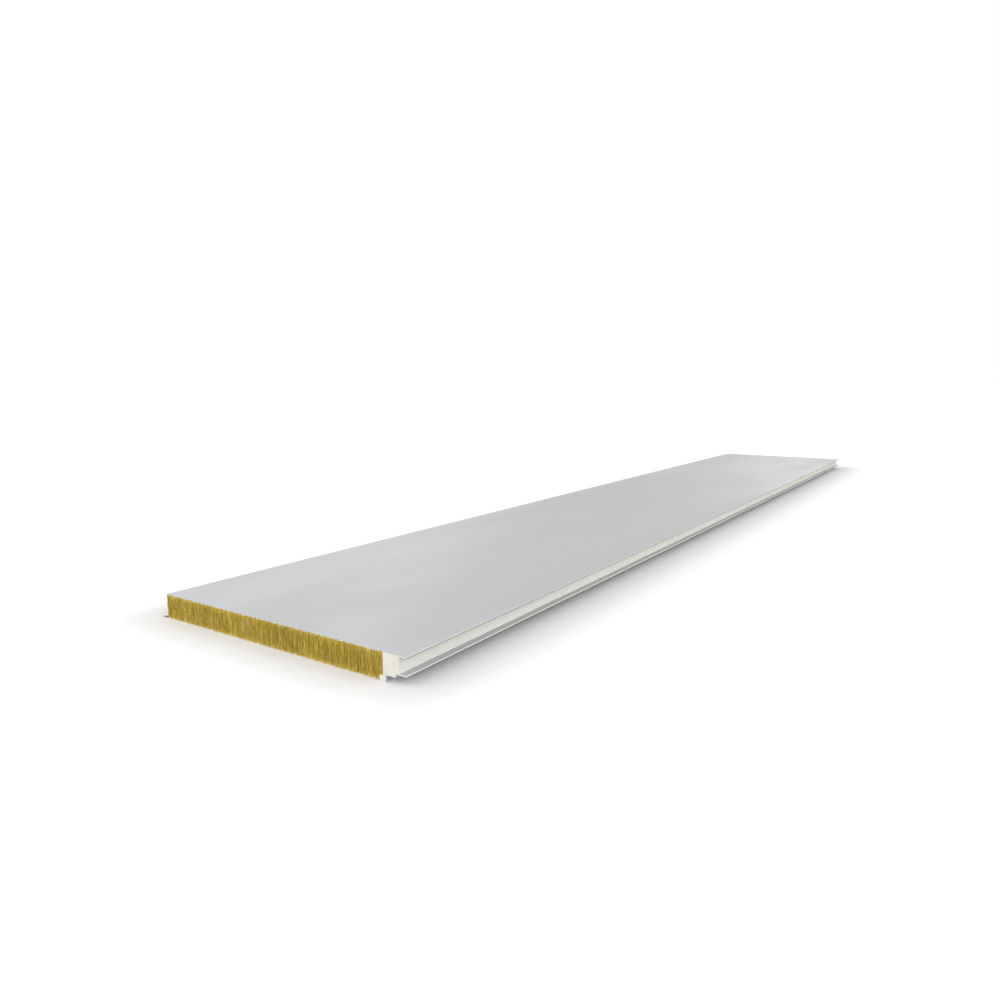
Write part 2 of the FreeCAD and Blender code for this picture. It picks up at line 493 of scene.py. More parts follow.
@dataclass(frozen=True)
class HardFoam:
    """Cream rigid foam, sawn at the ends and skinned along the edge.

    Attributes:
        seam: Where the foam meets the wool, across the panel, in metres.
        name: The finish's name.
        body, shade: The foam and its darker blotches.
        moulded: The skin along the edge, drawn lighter on the long faces, partly as painted light.
        skin: The paler strip beside the wool.
        pore, soil: The pinholes of the sawn ends and the dirty spots.
        strip, ragged: Width of the paler strip and how far its edge wanders.
        soiling: Frequency of the dirty spots on each axis, per metre.
        blotches, bubbles, raggedness, pinholes, dents: Scale of each pattern, per metre.
    """

    seam: float
    name: str = "edge_foam"
    body: Tone = Tone(237, 234, 225)
    shade: Tone = Tone(229, 225, 213)
    moulded: Tone = Tone(241, 240, 232)
    skin: Tone = Tone(246, 240, 220)
    pore: Tone = Tone(178, 168, 142)
    soil: Tone = Tone(166, 158, 140)
    strip: float = 1.6 * MM
    ragged: float = 2.4 * MM
    soiling: tuple = (16.0, 5.0, 22.0)
    blotches: float = 22.0
    bubbles: float = 850.0
    raggedness: float = 90.0
    pinholes: float = 210.0
    dents: float = 60.0

    def material(self) -> Material:
        """Build blotches, cells, a lighter skin on the long faces that is partly painted light, a
        paler strip at the wool, dirty spots and sawn pinholes.

        Returns:
            The material.
        """
        material, graph, shader, place = new_material(self.name)
        blotch = graph.noise(place, self.blotches, 4.0)
        feeds = {"Vector": place, "Scale": self.bubbles}
        bubble = graph.node("ShaderNodeTexVoronoi", feeds).outputs["Distance"]
        soil = graph.effect(Effect.SMUDGES, vector=place, frequency=self.soiling, share=0.12)
        wander = graph.math("MULTIPLY", graph.noise(place, self.raggedness), self.ragged)
        beside = graph.math("SUBTRACT", graph.part(place, 0), wander)
        skin = graph.spread(beside, self.seam, self.seam + self.strip, 1.0, 0.0)
        sawn = graph.math("ABSOLUTE", graph.facing(1))
        pores = graph.effect(Effect.SPECKS, vector=place, scale=self.pinholes, share=0.05)
        pores = graph.math("MULTIPLY", pores, graph.spread(sawn, 0.3, 0.7, 0.3, 1.0))
        darker = graph.spread(blotch, 0.42, 0.74)
        # The long faces take the moulded skin's lighter tone: the skin's own colour, and also
        # painted light that lifts those faces.
        colour = graph.layered(graph.blend(darker, self.body.rgba(), self.shade.rgba()),
                               (graph.spread(sawn, 0.3, 0.7, 0.65, 0.0), 1.0, self.moulded),
                               (skin, 0.8, self.skin), (pores, 0.55, self.pore),
                               (soil, 0.42, self.soil))
        graph.feed(shader["Base Color"], colour)
        graph.feed(shader["Roughness"], graph.spread(blotch, 0.3, 0.7, 0.78, 0.92))
        shader["Specular IOR Level"].default_value = 0.3
        dents = graph.bump(graph.noise(place, self.dents), 0.8 * MM, 0.12)
        pits = graph.bump(graph.math("SUBTRACT", 1.0, pores), 0.7 * MM, 0.6, dents)
        graph.feed(shader["Normal"], graph.bump(bubble, 0.25 * MM, 0.35, pits))
        return material


@dataclass(frozen=True)
class UprightWool:
    """Olive mineral wool whose fibres stand square to the facings.

    Attributes:
        name: The finish's name.
        stops: The fibres' tones, from the hollows to the bare strands.
        binder: The browner patches.
        hollow: Dark specks of the wool, also painted shade in the gaps between fibres.
        strand, tuft, patch: Frequency of each pattern on each axis, per metre.
        sway, swaying: How far the fibres wander sideways, and the scale of it, per metre.
        hollows: Scale of those dark specks across the fibres, per metre.
    """

    name: str = "mineral_wool"
    stops: tuple = (
        (0.08, Tone(136, 110, 24)),
        (0.36, Tone(182, 159, 51)),
        (0.64, Tone(209, 188, 85)),
        (0.92, Tone(244, 231, 172)),
    )
    binder: Tone = Tone(180, 142, 68)
    hollow: Tone = Tone(84, 66, 24)
    strand: tuple = (680.0, 680.0, 15.0)
    tuft: tuple = (230.0, 230.0, 9.0)
    patch: tuple = (55.0, 55.0, 7.0)
    sway: float = 1.2 * MM
    swaying: float = 28.0
    hollows: float = 210.0

    def material(self) -> Material:
        """Build upright streaks of two sizes, brown patches, dark specks that also paint the shade
        in the gaps between fibres, and each strand's tone.

        Returns:
            The material.
        """
        material, graph, shader, place = new_material(self.name)
        feeds = {"Vector": place, "Scale": self.swaying}
        wander = graph.node("ShaderNodeTexNoise", feeds).outputs["Color"]
        wander = graph.vector("ADD", wander, (-0.5, -0.5, -0.5))
        wander = graph.vector("MULTIPLY", wander, (self.sway, self.sway, 0.0))
        place = graph.vector("ADD", place, wander)
        strand = graph.effect(Effect.STREAKS, vector=place, frequency=self.strand, contrast=3.1)
        tuft = graph.effect(Effect.STREAKS, vector=place, frequency=self.tuft, contrast=2.6)
        patch = graph.spread(graph.drawn(place, self.patch, 3.0), 0.44, 0.72)
        upright = graph.vector("MULTIPLY", place, (1.0, 1.0, 0.3))
        # Dark specks: partly the wool's own specks, partly painted shade in the gaps between
        # fibres.
        hollow = graph.effect(Effect.SPECKS, vector=upright, scale=self.hollows, share=0.16)
        fibres = graph.weighted(0.0, (strand, 0.66), (tuft, 0.34))
        colour = graph.layered(graph.ramp(fibres, self.stops), (patch, 0.42, self.binder),
                               (hollow, 0.4, self.hollow))
        tone = graph.node("ShaderNodeAttribute", attribute_name="tone").outputs["Fac"]
        feeds = {"Value": graph.weighted(0.7, (tone, 0.6)), "Color": colour}
        graph.feed(shader["Base Color"], graph.node("ShaderNodeHueSaturation", feeds).outputs[0])
        shader["Roughness"].default_value = 0.95
        shader["Specular IOR Level"].default_value = 0.15
        graph.feed(shader["Normal"], graph.bump(strand, 0.9 * MM, 0.4))
        return material


@dataclass(frozen=True)
class CuredGlue:
    """Tan adhesive squeezed out between wool and steel.

    Attributes:
        name: The finish's name.
        body, pale: The glue and its paler blotches.
        blotches, lumps: Scale of each pattern, per metre.
    """

    name: str = "cured_glue"
    body: Tone = Tone(232, 206, 162)
    pale: Tone = Tone(249, 234, 206)
    blotches: float = 130.0
    lumps: float = 900.0

    def material(self) -> Material:
        """Build a blotchy tan with a satin surface and small lumps.

        Returns:
            The material.
        """
        material, graph, shader, place = new_material(self.name)
        blotch = graph.noise(place, self.blotches, 3.0)
        paler = graph.spread(blotch, 0.35, 0.7)
        graph.feed(shader["Base Color"], graph.blend(paler, self.body.rgba(), self.pale.rgba()))
        graph.feed(shader["Roughness"], graph.spread(blotch, 0.3, 0.7, 0.45, 0.65))
        graph.feed(shader["Normal"], graph.bump(graph.noise(place, self.lumps), 0.3 * MM, 0.5))
        return material


def soft_noise(shape: tuple, blur: tuple, rng: Random) -> Array:
    """Make blurred white noise with a spread of one.

    Formula: the noise's Fourier transform times exp(-2 (pi f s)^2) on each axis, turned back.

    Args:
        shape: Rows and columns.
        blur: The Gaussian's spread along rows and columns, in cells.
        rng: The source of random numbers.

    Returns:
        The field as an array of that shape.
    """
    rows = np.fft.fftfreq(shape[0])[:, None] * blur[0]
    columns = np.fft.rfftfreq(shape[1])[None, :] * blur[1]
    keep = np.exp(-2.0 * np.pi ** 2 * (rows ** 2 + columns ** 2))
    made = np.fft.irfft2(np.fft.rfft2(rng.standard_normal(shape)) * keep, s=shape)
    return made / made.std()


def lines_between(stops: Array, step: float) -> Array:
    """Lay grid lines through every stop and about a step apart.

    Args:
        stops: Places that get a line, in rising order.
        step: The spacing between them.

    Returns:
        The lines' places.
    """
    spans = []
    for start, end in zip(stops[:-1], stops[1:]):
        spans.append(np.linspace(start, end, max(1, round((end - start) / step)) + 1))
    return np.unique(np.concatenate(spans).round(7))


def add_piece(name: str, points: Array, faces: list, material: Material,
              tone: Optional[Array] = None) -> bpy.types.Object:
    """Put a finished mesh into the scene and let it ride on the panel.

    Args:
        name: The piece's name.
        points: Vertex places, one row each, in metres.
        faces: Arrays of vertex numbers, each with one row per face.
        material: The finish.
        tone: A brightness from 0 to 1 for each vertex.

    Returns:
        The new object.
    """
    rows = [row for block in faces for row in block.tolist()]
    mesh = bpy.data.meshes.new(name)
    mesh.from_pydata(points.tolist(), [], rows)
    if tone is not None:
        held = mesh.attributes.new("tone", "FLOAT", "POINT")
        held.data.foreach_set("value", tone.astype(np.float32))
    mesh.materials.append(material)
    mesh.update()
    made = bpy.data.objects.new(name, mesh)
    bpy.context.scene.collection.objects.link(made)
    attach(made, BODY)
    LOG.info("%s: %d faces", name, len(rows))
    return made


def dress_node(name: str, material: Material) -> None:
    """Give a carried-over solid its finish.

    Args:
        name: The solid's node.
        material: The finish.
    """
    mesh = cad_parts[name].data
    mesh.materials.clear()
    mesh.materials.append(material)
    LOG.info("%s: dressed in %s", name, material.name)


@dataclass
class Shells:
    """Closed shells that are gathered into one mesh."""

    points: list = field(default_factory=list)
    faces: list = field(default_factory=list)
    count: int = 0

    def add(self, points: Array, faces: list) -> None:
        """Add one shell behind the others.

        Args:
            points: Its vertices.
            faces: Its faces as a list of arrays.
        """
        self.points.append(points)
        self.faces.extend(block + self.count for block in faces)
        self.count += len(points)


def spindles(paths: Array, out: Array, side: Array, girth: Array,
             flatness: float, sides: int) -> tuple:
    """Carry a round profile along many short paths and close it in a pole at both ends.

    Formula: ring point = path point + girth (cos a out + flatness sin a side).

    Args:
        paths: Points of each path, shaped (count, stations, 3).
        out: Unit vector away from the surface.
        side: Unit vector along the surface, across the paths.
        girth: Radius at the inner stations, shaped (count, stations - 2).
        flatness: Radius along side as a share of the radius along out.
        sides: Points in a ring.

    Returns:
        The vertices, and the faces as a list of arrays.
    """
    count, stations = paths.shape[:2]
    inner = stations - 2
    angle = np.arange(sides) * 2.0 * np.pi / sides
    ring = np.cos(angle)[:, None] * out + flatness * np.sin(angle)[:, None] * side
    rings = paths[:, 1:-1, None, :] + girth[:, :, None, None] * ring[None, None]
    rings = rings.reshape(count, inner * sides, 3)
    body = np.concatenate([paths[:, :1], rings, paths[:, -1:]], axis=1)
    start = (np.arange(count) * (inner * sides + 2))[:, None]
    here = np.arange(sides)
    after = (here + 1) % sides
    head = np.stack([np.zeros_like(here), 1 + after, 1 + here], axis=-1)
    last = 1 + (inner - 1) * sides
    tail = np.stack([np.full_like(here, 1 + inner * sides), last + here, last + after], axis=-1)
    base = (1 + np.arange(inner - 1) * sides)[:, None]
    next_base = base + sides
    skin = np.stack([base + here, base + after, next_base + after, next_base + here], axis=-1)
    run = paths[:, -1] - paths[:, 0]
    turned = np.einsum("ij,j->i", run, np.cross(out, side)) < 0.0
    faces = []
    for block in (head, tail, skin.reshape(-1, 4)):
        numbers = start[:, :, None] + block[None]
        numbers = np.where(turned[:, None, None], numbers[:, :, ::-1], numbers)
        faces.append(numbers.reshape(-1, block.shape[1]))
    return body.reshape(-1, 3), faces


def fan(line: Array, apex: int) -> Array:
    """Return the triangles from each step of a line of points to one apex."""
    return np.stack([line[:-1], line[1:], np.full(len(line) - 1, apex)], -1)


def wall(near: Array, far: Array) -> Array:
    """Return the triangles between two runs of points, as two fans that meet on a diagonal."""
    return np.concatenate([fan(near[::-1], far[0]), fan(far, near[-1])])


def cells(number: Array) -> Array:
    """Return the four point numbers of each cell of a grid, shaped (rows, columns, 4)."""
    return np.stack([number[:-1, :-1], number[1:, :-1], number[1:, 1:], number[:-1, 1:]], -1)


def without_spares(points: Array, faces: list) -> tuple:
    """Drop the vertices that no face uses and number the rest anew.

    Args:
        points: The vertices.
        faces: The faces as a list of arrays.

    Returns:
        The vertices and faces that are left.
    """
    used = np.unique(np.concatenate([block.ravel() for block in faces]))
    fresh = np.zeros(len(points), int)
    fresh[used] = np.arange(len(used))
    return points[used], [fresh[block] for block in faces]


@dataclass(frozen=True)
class SawnRelief:
    """How a sawn wool face dips below the plane of its cut, in metres.

    Attributes:
        recess: The mean depth.
        tuft, strand, lump: The height of each kind of unevenness.
        tuft_blur, strand_blur, lump_blur: Its size across and up the face.
        proud: How far a point may stand out of the cut.
        deepest: The deepest dip.
    """

    recess: float = 0.9 * MM
    tuft: float = 0.30 * MM
    strand: float = 0.34 * MM
    lump: float = 0.16 * MM
    tuft_blur: tuple = (1.4 * MM, 24.0 * MM)
    strand_blur: tuple = (0.5 * MM, 12.0 * MM)
    lump_blur: tuple = (14.0 * MM, 12.0 * MM)
    proud: float = 0.5 * MM
    deepest: float = 2.4 * MM

    def depth(self, shape: tuple, steps: tuple, rng: Random) -> Array:
        """Work out the depth on a grid.

        Formula: recess + broad upright streaks + narrow upright streaks + round lumps, each of
        them blurred noise, held between a little proud of the cut and the deepest dip.

        Args:
            shape: Lines across and lines up.
            steps: Their spacing, in metres.
            rng: The source of random numbers.

        Returns:
            The depth below the cut.
        """
        made = np.full(shape, self.recess)
        kinds = ((self.tuft, self.tuft_blur), (self.strand, self.strand_blur),
                 (self.lump, self.lump_blur))
        for height, blur in kinds:
            made += height * soft_noise(shape, (blur[0] / steps[0], blur[1] / steps[1]), rng)
        return np.clip(made, -self.proud, self.deepest)


@dataclass
class WoolCap:
    """One end of a lamella, as a grid of points over the lamella's section.

    Attributes:
        lines_x: The grid's lines across the panel.
        lines_z: The grid's lines up.
        corner: Line numbers, across and up, of the inner corner of a notch at the lower right, or
            of the lower right corner where there is no notch.
        along: The place of each point along the panel.
        inset: How far the points of the left edge go inwards.
        eased: The width over which that fades out across the cap.
    """

    lines_x: Array
    lines_z: Array
    corner: tuple
    along: Array
    inset: Union[float, Array] = 0.0
    eased: float = 8.0 * MM

    def points(self) -> Array:
        """Lay the grid's points, line by line across the panel.

        Formula: across + inset times a share that falls in a line from 1 at the left edge to 0.

        Returns:
            The points, one row each.
        """
        across, up = np.meshgrid(self.lines_x, self.lines_z, indexing="ij")
        share = np.clip(1.0 - (across - self.lines_x[0]) / self.eased, 0.0, 1.0)
        return np.stack([across + share * self.inset, self.along, up], -1).reshape(-1, 3)

    def numbers(self, first: int) -> Array:
        """Return the points' numbers on the grid, counted from first."""
        return first + np.arange(self.along.size).reshape(self.along.shape)

    def quads(self, number: Array) -> Array:
        """Fill the section, apart from the notch, with faces turned towards the near end.

        Args:
            number: The points' numbers on the grid.

        Returns:
            The faces.
        """
        made = cells(number)
        kept = np.ones(made.shape[:2], bool)
        kept[self.corner[0]:, :self.corner[1]] = False
        return made[kept]

    def runs(self, number: Array) -> dict:
        """Follow the section's outline, anticlockwise as the near end shows it.

        Args:
            number: The points' numbers on the grid.

        Returns:
            Each straight side's name to the numbers of its points.
        """
        i, j = self.corner
        return {
            "underside": number[:i + 1, 0],
            "notch_side": number[i, :j + 1],
            "notch_roof": number[i:, j],
            "right": number[-1, j:],
            "top": number[::-1, -1],
            "left": number[0, ::-1],
        }


@dataclass
class WoolRow:
    """One row of wool lamellas butted end to end, with fibrous faces where it lies open.

    Attributes:
        number: The row's number, from the lap edge to the tongue edge.
        open_side: True where the row's left side is open too.
        step_across: Spacing of the grid across an end.
        step_up: Spacing of the grid up a face.
        step_along: Spacing of the grid along an open side.
        corner_step: First and last step along an open side, wider than the relief is deep.
        joint_dip: How far the open side dips at a butt joint.
        joint_reach: How far from the joint the dip has fallen to about a third.
        tones: The least and the greatest brightness of a lamella.
        relief: The shape of the sawn faces.
    """

    number: int
    open_side: bool = False
    step_across: float = 0.8 * MM
    step_up: float = 2.0 * MM
    step_along: float = 4.0 * MM
    corner_step: float = 3.0 * MM
    joint_dip: float = 1.3 * MM
    joint_reach: float = 1.5 * MM
    tones: tuple = (0.40, 0.60)
    relief: SawnRelief = SawnRelief()

    def node(self) -> str:
        """Return the name of the solid that this row stands for."""
        return f"wool_row_{self.number}"

    def stops(self) -> list:
        """Find the places of the solid's own corners.

        Returns:
            The places along each axis, in rising order.
        """
        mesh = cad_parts[self.node()].data
        corners = np.empty(len(mesh.vertices) * 3, np.float32)
        mesh.vertices.foreach_get("co", corners)
        return [np.unique(axis.round(5)) for axis in corners.reshape(-1, 3).T.astype(float)]

    def cap(self, place: float, inwards: float, sawn: bool, rng: Random) -> WoolCap:
        """Lay out one end of a lamella.

        A sawn end is a fine grid with relief. A butt joint has only the section's own corners.

        Args:
            place: The end's place along the panel.
            inwards: 1 at a lamella's near end and -1 at its far end.
            sawn: True where the end lies open.
            rng: The source of random numbers.

        Returns:
            The end.
        """
        across, _, up = self.stops()
        lines_x = lines_between(across, self.step_across) if sawn else across
        lines_z = lines_between(up, self.step_up) if sawn or self.open_side else up
        corner = (len(lines_x) - 1, 0)
        if len(across) > 2 and len(up) > 2:
            corner = (int(abs(lines_x - across[1]).argmin()), int(abs(lines_z - up[1]).argmin()))
        along = np.full((len(lines_x), len(lines_z)), place)
        if sawn:
            along += inwards * self.relief.depth(along.shape, (self.step_across, self.step_up), rng)
        return WoolCap(lines_x, lines_z, corner, along)

    def open_face(self, start: float, end: float, joints: Array, lines_z: Array,
                  rng: Random) -> tuple:
        """Work out the open left side of one lamella.

        Formula: the sawn relief plus joint_dip times exp(-(gap / joint_reach)^2), where gap is the
        way to the nearest butt joint. Along both facings it is 0, where glue holds the wool.

        Args:
            start: The lamella's near end.
            end: Its far end.
            joints: The places of the row's butt joints.
            lines_z: The grid's lines up.
            rng: The source of random numbers.

        Returns:
            The places along the side, and how far each point goes inwards.
        """
        edges = np.array([start, start + self.corner_step, end - self.corner_step, end])
        along = lines_between(edges, self.step_along)
        steps = (self.step_along, self.step_up)
        inwards = self.relief.depth((len(along), len(lines_z)), steps, rng)
        gap = np.abs(along[:, None] - joints[None, :]).min(axis=1)
        inwards += self.joint_dip * np.exp(-(gap / self.joint_reach) ** 2)[:, None]
        inwards[:, [0, -1]] = 0.0
        return along, inwards

    def lamella(self, near: WoolCap, far: WoolCap, side: Optional[tuple]) -> tuple:
        """Make one lamella as a closed shell.

        Fans between the two ends close each side of the section. An open left side is a grid of
        its own along the lamella. One fan then closes each face that meets it, from the right
        corner of the plainer end.

        Args:
            near: The near end.
            far: The far end.
            side: Places along the open side and how far its points go inwards, or None.

        Returns:
            The vertices, and the faces as a list of arrays.
        """
        front = near.numbers(0)
        back = far.numbers(front.size)
        points = [near.points(), far.points()]
        faces = [near.quads(front), far.quads(back)[:, ::-1]]
        near_runs, far_runs = near.runs(front), far.runs(back)
        covered = list(near_runs)
        if side is not None:
            along, inwards = side
            along_grid, up_grid = np.meshgrid(along[1:-1], near.lines_z, indexing="ij")
            grid = np.stack([near.lines_x[0] + inwards[1:-1], along_grid, up_grid], -1)
            points.append(grid.reshape(-1, 3))
            first = front.size + back.size
            fresh = first + np.arange(along_grid.size).reshape(along_grid.shape)
            strip = np.concatenate([front[:1], fresh, back[:1]])
            faces.append(cells(strip).reshape(-1, 4)[:, ::-1])
            for row, turn in ((0, 1), (-1, -1)):
                if len(front) > len(back):
                    line, apex = np.concatenate([front[::-1, row], strip[1:, row]]), back[-1, row]
                else:
                    line, apex = np.concatenate([strip[:, row], back[1:, row]]), front[-1, row]
                faces.append(fan(line, apex)[:, ::turn])
            covered = ["right"]
        faces.extend(wall(near_runs[name], far_runs[name]) for name in covered)
        return without_spares(np.concatenate(points), faces)

    def build(self, material: Material, rng: Random) -> bpy.types.Object:
        """Build the row's lamellas as one piece that stands for its solid.

        Args:
            material: The wool finish.
            rng: The source of random numbers.

        Returns:
            The new object.
        """
        along = self.stops()[1]
        shells, tones = Shells(), []
        for start, end in along.reshape(-1, 2):
            near = self.cap(start, 1.0, start == along[0], rng)
            far = self.cap(end, -1.0, end == along[-1], rng)
            side = None
            if self.open_side:
                side = self.open_face(start, end, along[1:-1], near.lines_z, rng)
                near.inset, far.inset = side[1][0], side[1][-1]
            points, faces = self.lamella(near, far, side)
            shells.add(points, faces)
            tones.append(np.full(len(points), rng.uniform(*self.tones)))
        made = add_piece(f"wool_lamellas_{self.number}", np.concatenate(shells.points),
                         shells.faces, material, np.concatenate(tones))
        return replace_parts(made, self.node())


@dataclass(frozen=True)
class CoreFace:
    """An open face of the wool core, with places on it.

    Attributes:
        which: The face.
        low: Lowest corner of the core.
        high: Highest corner of the core.
    """

    which: OpenFace
    low: Array
    high: Array

    def out(self) -> Array:
        """Return the unit vector away from the wool."""
        outwards = {OpenFace.NEAR_END: (0, -1, 0), OpenFace.FAR_END: (0, 1, 0)}
        return np.array(outwards.get(self.which, (-1, 0, 0)), float)

    def run(self) -> Array:
        """Return the unit vector along the face, level and in rising coordinates."""
        return np.abs(np.cross(self.out(), UP))

    def span(self) -> tuple:
        """Return where the face begins and ends along its run."""
        return float(self.low @ self.run()), float(self.high @ self.run())

    def lay(self, level: Array, up: Array, off: Array) -> Array:
        """Find points by their place on the face.

        Args:
            level: Places along the face's run.
            up: Heights above the panel's underside.
            off: Distances away from the cut.

        Returns:
            The points, with the coordinates as the last axis.
        """
        out = self.out()
        base = np.where(out < 0.0, self.low, self.high) * np.abs(out)
        flat = level[..., None] * self.run() + up[..., None] * UP
        return base + flat + off[..., None] * out


@dataclass
class LooseFibres:
    """Strands that lie on an open wool face and lift a little from it.

    Attributes:
        face, count: The face they lie on and how many there are.
        lengths, radii: The least and the greatest of each, in metres.
        length_bias, radius_bias: The beta weights by which each is drawn between them.
        profile: The radius at the inner stations, as a share of the strand's own.
        lean: The spread of the lean from upright, in degrees.
        sunk: How deep both ends lie below the cut.
        lift, arched: The greatest height of an arch, and the least and greatest share of it.
        stray, strayed: The share of strands whose upper end stands off, and how far it does.
        clear, margin: Room that is kept to the facings and to both sides of the face.
        foot: Width and height that the foam foot takes from the wool's lower right corner.
        lap: Height that the folded lap lip takes from the wool's left side.
        tones: The mean and the spread of the strands' brightness.
    """

    face: CoreFace
    count: int
    lengths: tuple = (7.0 * MM, 34.0 * MM)
    radii: tuple = (0.09 * MM, 0.39 * MM)
    length_bias: tuple = (1.3, 2.4)
    radius_bias: tuple = (1.2, 2.6)
    profile: tuple = (0.8, 1.0, 0.7)
    lean: float = 3.0
    sunk: float = 0.7 * MM
    lift: float = 1.5 * MM
    arched: tuple = (0.2, 1.0)
    stray: float = 0.16
    strayed: tuple = (0.8 * MM, 3.2 * MM)
    clear: float = 1.0 * MM
    margin: float = 1.6 * MM
    foot: tuple = (14.0 * MM, 16.0 * MM)
    lap: float = 6.4 * MM
    tones: tuple = (0.60, 0.30)

    def build(self, material: Material, rng: Random) -> bpy.types.Object:
        """Build the strands as thin closed spindles.

        Formula: a straight run of the strand's length, leaning a few degrees from upright, plus an
        arch lift sin(pi t) off the face, plus a stray end that goes off with t squared.

        Args:
            material: The wool finish.
            rng: The source of random numbers.

        Returns:
            The new object.
        """
        face, count = self.face, self.count
        on_left = face.which is OpenFace.LEFT_SIDE
        begin, end = face.span()
        bottom = face.low[2] + (self.lap if on_left else self.clear)
        top = face.high[2] - self.clear
        shortest, longest = self.lengths
        length = shortest + (longest - shortest) * rng.beta(*self.length_bias, count)
        lean = np.radians(rng.normal(0.0, self.lean, count))
        start_up = rng.uniform(bottom, top - length * np.cos(lean))
        start = rng.uniform(begin + self.margin, end - self.margin, count)
        if not on_left:
            above_foot = np.maximum(start_up, face.low[2] + self.foot[1])
            start_up = np.where(start > end - self.foot[0], above_foot, start_up)
        length = np.minimum(length, top - start_up)
        t = np.linspace(0.0, 1.0, len(self.profile) + 2)[None, :]
        arch = rng.uniform(*self.arched, count)[:, None] * self.lift * np.sin(np.pi * t)
        loose = rng.random(count) < self.stray
        stray = (loose * rng.uniform(*self.strayed, count))[:, None] * t ** 2
        level = start[:, None] + (length * np.sin(lean))[:, None] * t
        up = start_up[:, None] + (length * np.cos(lean))[:, None] * t
        paths = face.lay(level, up, arch + stray - self.sunk)
        thinnest, thickest = self.radii
        radius = thinnest + (thickest - thinnest) * rng.beta(*self.radius_bias, count)
        girth = radius[:, None] * np.array(self.profile)[None, :]
        points, faces = spindles(paths, face.out(), face.run(), girth, flatness=1.0, sides=3)
        tone = np.clip(rng.normal(*self.tones, count), 0.0, 1.0)
        return add_piece(f"wool_strands_{face.which.value}", points, faces, material,
                         np.repeat(tone, len(points) // count))


@dataclass
class GlueLines:
    """Broken beads of glue along the open joints between the wool and the steel.

    Attributes:
        face: The open face that they edge.
        lengths: The least and the greatest length of a bead, in metres.
        widest_gap: The greatest gap between two beads.
        length_bias, gap_bias: The beta weights by which lengths and gaps are drawn.
        pitch: A stretch of the joint that each bead and its gap exceed.
        girth: The greatest height of a bead off the cut.
        shares, rough: Range of each bead's share of that height, and of its stations' shares.
        bluntness: How fully a bead keeps its height towards its ends, fuller nearer to 0.
        tallness: A bead's radius up the cut as a share of its height off it.
        inset: How far the beads' middle lies from the steel.
        wobble: The spread and the limit of the line's way up and down.
        drift: The wobble's blur from bead to bead and from station to station.
        off: Where the beads' middle lies off the cut, at least and at most.
        clear: Room that is kept at the end of the joint.
        stations: Points along a bead.
    """

    face: CoreFace
    lengths: tuple = (5.0 * MM, 34.0 * MM)
    widest_gap: float = 7.0 * MM
    length_bias: tuple = (1.0, 2.2)
    gap_bias: tuple = (0.8, 2.6)
    pitch: float = 4.0 * MM
    girth: float = 1.15 * MM
    shares: tuple = (0.55, 1.0)
    rough: tuple = (0.7, 1.15)
    bluntness: float = 0.4
    tallness: float = 1.3
    inset: float = 1.2 * MM
    wobble: tuple = (0.2 * MM, 0.35 * MM)
    drift: tuple = (0.01, 1.2)
    off: tuple = (-0.5 * MM, 0.1 * MM)
    clear: float = 1.0 * MM
    stations: int = 9

    def joint(self, level: float, rng: Random) -> tuple:
        """Lay the beads of one joint.

        Formula: lengths and gaps are drawn and added up along the joint. Each bead's radius is its
        own girth times sin(pi t) to the power of bluntness, and its line wobbles up and down.

        Args:
            level: The joint's height.
            rng: The source of random numbers.

        Returns:
            The vertices, and the faces as a list of arrays.
        """
        begin, end = self.face.span()
        shortest, longest = self.lengths
        draws = int((end - begin) / self.pitch)
        length = shortest + (longest - shortest) * rng.beta(*self.length_bias, draws)
        gap = self.widest_gap * rng.beta(*self.gap_bias, draws)
        start = begin + np.cumsum(length + gap) - length
        inside = start + length < end - self.clear
        start, length = start[inside], length[inside]
        count = len(start)
        t = np.linspace(0.0, 1.0, self.stations)[None, :]
        spread, limit = self.wobble
        wobble = spread * soft_noise((count, self.stations), self.drift, rng)
        off = rng.uniform(*self.off, count)[:, None] + np.zeros_like(t)
        paths = self.face.lay(start[:, None] + length[:, None] * t,
                              level + np.clip(wobble, -limit, limit), off)
        rough = rng.uniform(*self.rough, (count, self.stations - 2))
        girth = self.girth * rng.uniform(*self.shares, count)[:, None] * rough
        girth = girth * np.sin(np.pi * t[:, 1:-1]) ** self.bluntness
        return spindles(paths, self.face.out(), UP, girth, self.tallness, sides=6)

    def build(self, material: Material, rng: Random) -> bpy.types.Object:
        """Build the beads at the lower and the upper joint. The lap lip hides the left lower one.

        Args:
            material: The glue finish.
            rng: The source of random numbers.

        Returns:
            The new object.
        """
        levels = [self.face.low[2] + self.inset, self.face.high[2] - self.inset]
        if self.face.which is OpenFace.LEFT_SIDE:
            del levels[0]
        shells = Shells()
        for level in levels:
            shells.add(*self.joint(level, rng))
        return add_piece(f"glue_beads_{self.face.which.value}", np.concatenate(shells.points),
                         shells.faces, material)


